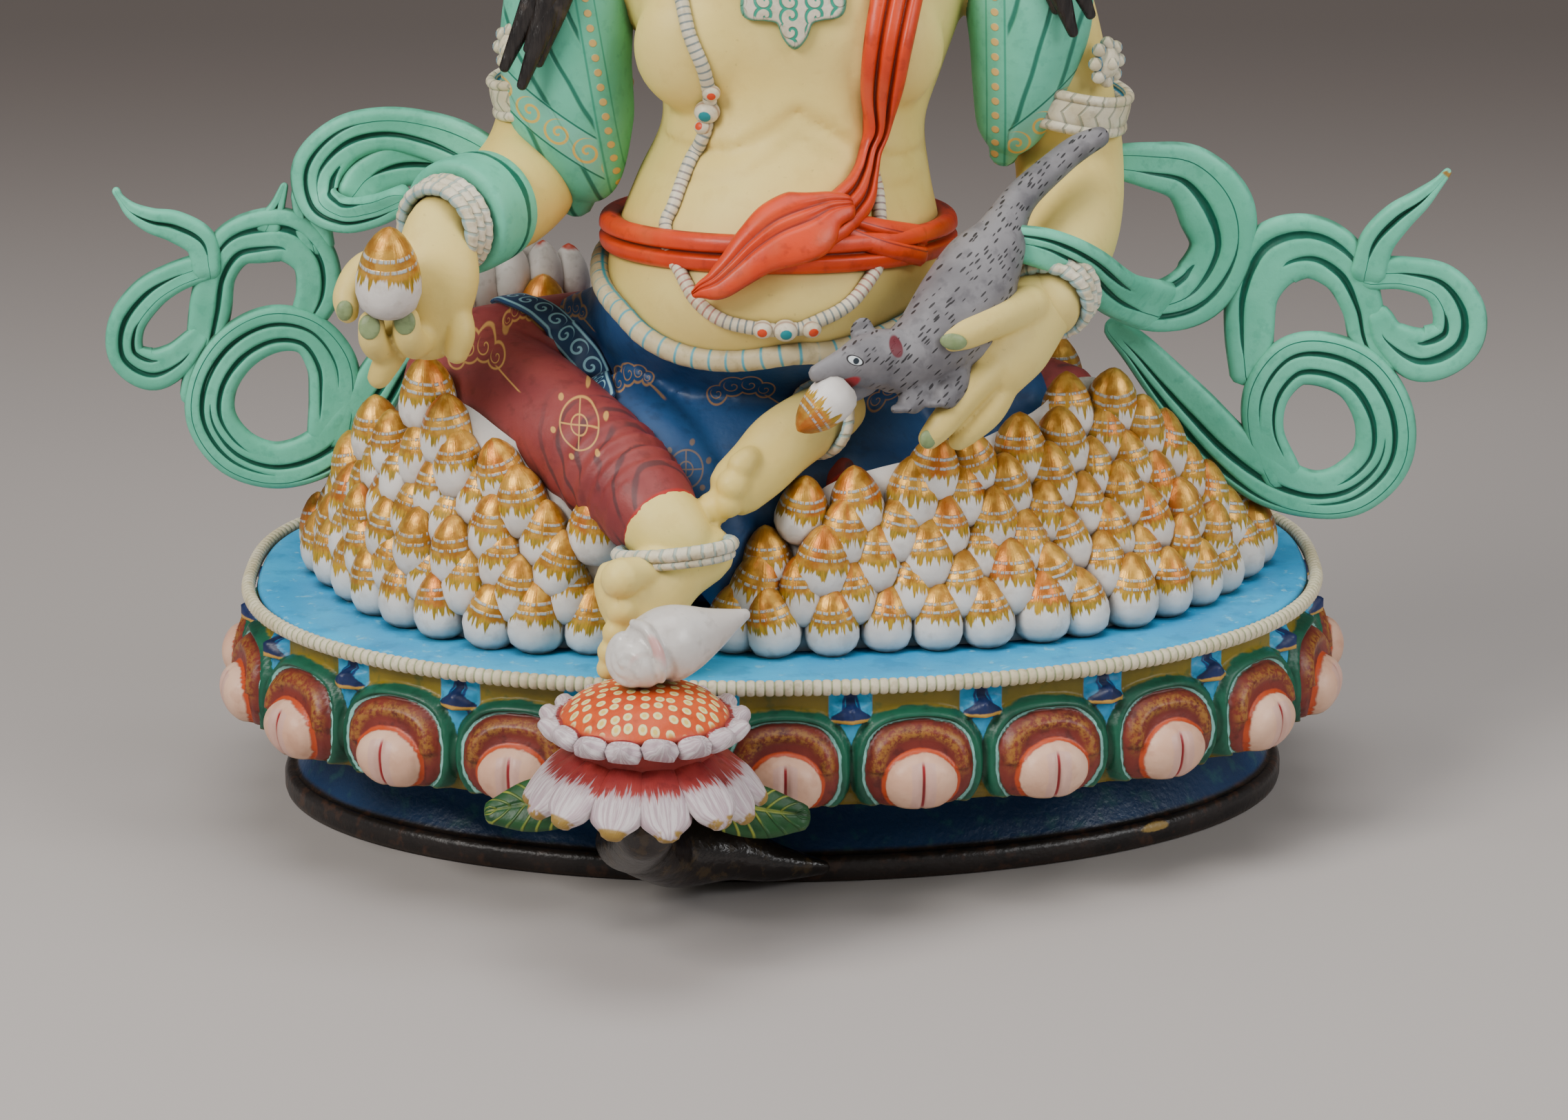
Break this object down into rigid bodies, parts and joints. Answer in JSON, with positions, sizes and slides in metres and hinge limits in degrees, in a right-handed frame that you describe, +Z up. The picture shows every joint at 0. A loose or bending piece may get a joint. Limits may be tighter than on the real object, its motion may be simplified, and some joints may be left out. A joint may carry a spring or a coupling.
{
  "type": "painted jambhala statue",
  "caption": "Painted statue of Jambhala seated on an oval lotus throne between mounds of jewels, holding a mongoose and a jewel.",
  "frame": {"origin": "on the flat underside of the foot board, under the middle of the throne's width", "axes": "+Z up, +X to the viewer's right when facing the figure, -Y towards the viewer"},
  "size_m": [0.2953, 0.2069, 0.3127],
  "materials": {
    "navy_board": "satin navy paint with a black-brown edge",
    "throne_paint": "satin paint: sky blue top, cream rope, ochre band, red-brown petals edged in green",
    "skin_paint": "warm pale yellow matt paint",
    "jewel_paint": "white satin paint with gold tips",
    "scarf_paint": "mint green satin paint, dark green grooves",
    "flower_paint": "red paint with brushed white tips",
    "conch_paint": "pearl white satin paint",
    "sash_paint": "orange-red satin paint",
    "trouser_paint": "maroon satin paint with gold line ornaments",
    "skirt_paint": "navy satin paint with a light blue scroll border",
    "mongoose_paint": "grey satin paint with black hair strokes",
    "hair_paint": "black satin paint",
    "ornament_paint": "cream satin paint with blue and red lines"
  },
  "bodies": {
    "root": {"foot_board": "navy_board", "lotus_throne": "throne_paint", "figure": "skin_paint", "jewel_heap_left": "jewel_paint", "jewel_heap_right": "jewel_paint", "scarf_wing_left": "scarf_paint", "scarf_wing_right": "scarf_paint", "lotus_footrest": "flower_paint", "conch_shell": "conch_paint"}
  },
  "joints": []
}
